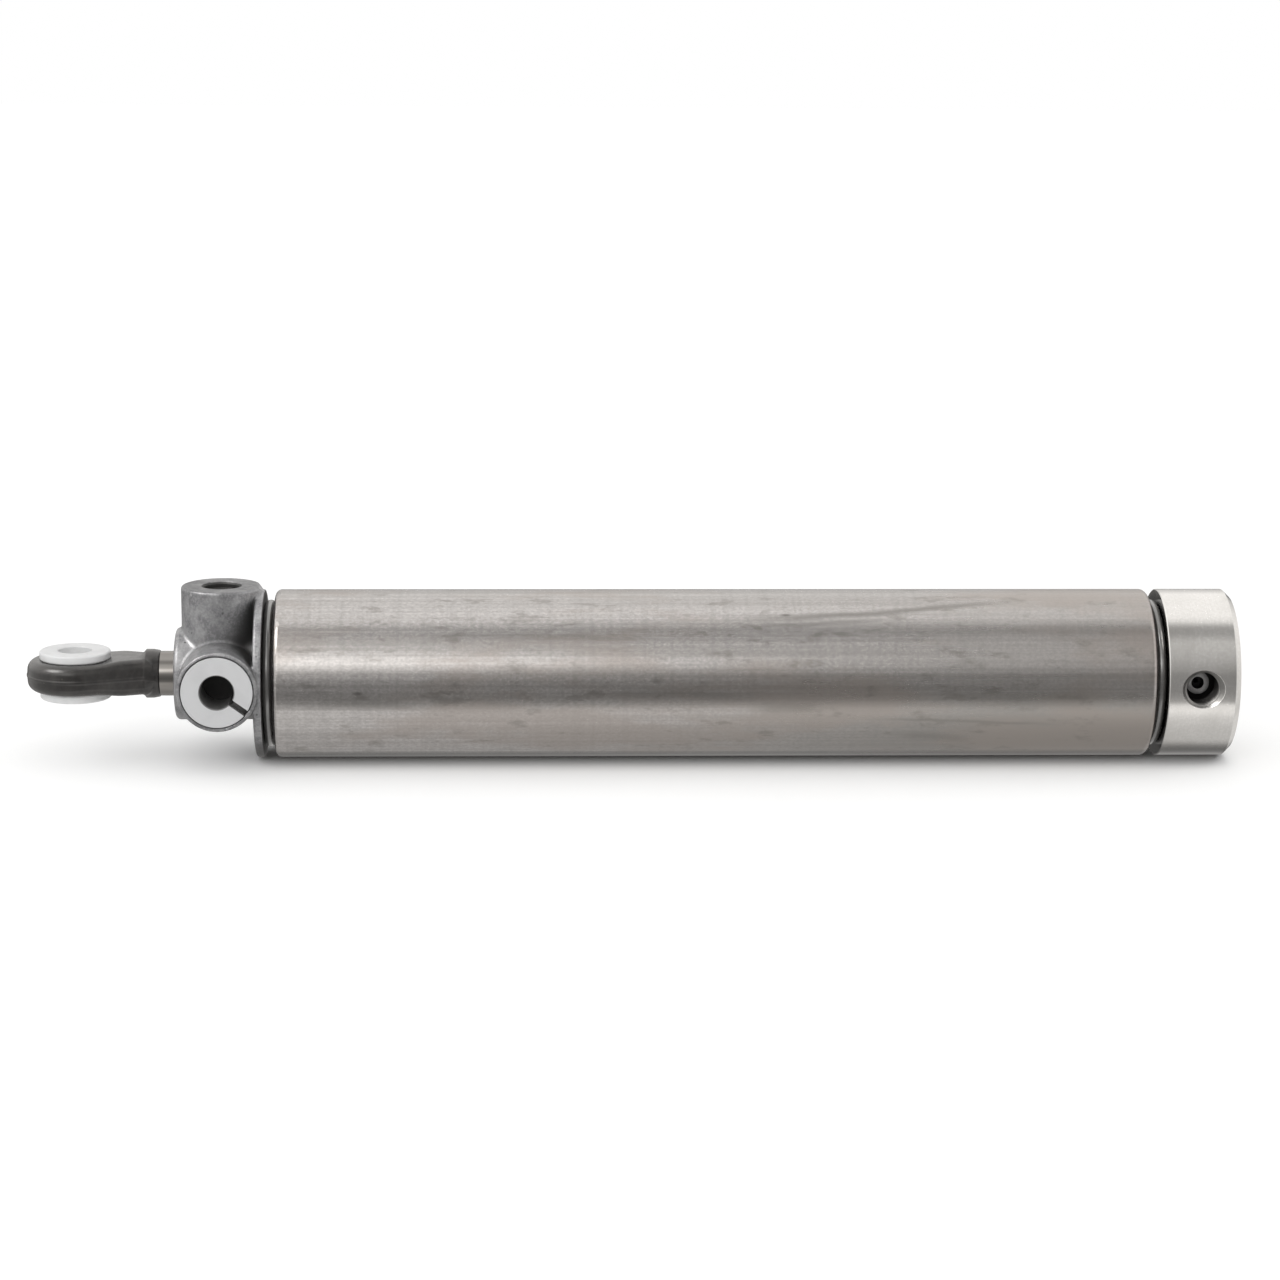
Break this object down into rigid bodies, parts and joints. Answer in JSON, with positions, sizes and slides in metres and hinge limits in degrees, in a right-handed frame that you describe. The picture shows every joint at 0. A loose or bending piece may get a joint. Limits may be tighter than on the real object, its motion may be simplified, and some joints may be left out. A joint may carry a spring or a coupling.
{
  "type": "pneumatic cylinder",
  "caption": "Double-acting pneumatic cylinder with trunnion bosses on its front head, a rod eye with plastic bushes and a screwed rear cap with a side port.",
  "frame": {"origin": "where the axis of the two trunnion bosses crosses the cylinder axis", "axes": "+X along the cylinder axis towards the rear cap, so the rod comes out towards -X; +Z out of the air port in the top boss of the head; Y along the trunnion axis, with the rear cap's port facing -Y"},
  "size_m": [0.4309, 0.0644, 0.062],
  "materials": {
    "tube_aluminium": "drawn, satin, with fine lengthwise lines and light staining",
    "cap_aluminium": "bright turned",
    "head_casting": "die-cast, mottled grey",
    "black_rubber": "moulded, slightly glossy",
    "seal_rubber": "moulded, matt",
    "white_plastic": "moulded, satin",
    "guide_plastic": "filled bearing plastic",
    "eye_black": "forged steel with a satin black coating",
    "rod_chrome": "ground and hard chromed",
    "zinced_steel": "zinc plated",
    "throttle_steel": "plain turned",
    "piston_aluminium": "turned"
  },
  "bodies": {
    "barrel": {"barrel_tube": "tube_aluminium", "front_head": "head_casting", "rear_cap": "cap_aluminium", "front_joint_ring": "black_rubber", "rear_joint_ring": "black_rubber", "front_bumper": "black_rubber", "rear_bumper": "black_rubber", "rod_wiper": "seal_rubber", "seal_retainer": "zinced_steel", "rod_seal": "seal_rubber", "rod_guide_bush": "guide_plastic", "trunnion_bush_front": "white_plastic", "trunnion_bush_rear": "white_plastic", "rear_port_throttle": "throttle_steel"},
    "seal_pack": {"piston_seal_front": "seal_rubber", "piston_seal_rear": "seal_rubber", "piston_wear_ring": "guide_plastic"},
    "rod": {"piston_rod": "rod_chrome", "piston": "piston_aluminium", "piston_bore_ring": "black_rubber", "piston_washer": "zinced_steel", "piston_nut": "zinced_steel", "rod_eye": "eye_black", "eye_bush_top": "white_plastic", "eye_bush_bottom": "white_plastic"}
  },
  "joints": [
    {"name": "rod_slide", "type": "slide", "parent": "barrel", "child": "seal_pack", "axis": [-1, 0, 0], "range_m": [0, 0.25]},
    {"name": "rod_spin", "type": "hinge", "parent": "seal_pack", "child": "rod", "pos_m": [0.3, 0, 0], "axis": [1, 0, 0], "continuous": true}
  ]
}
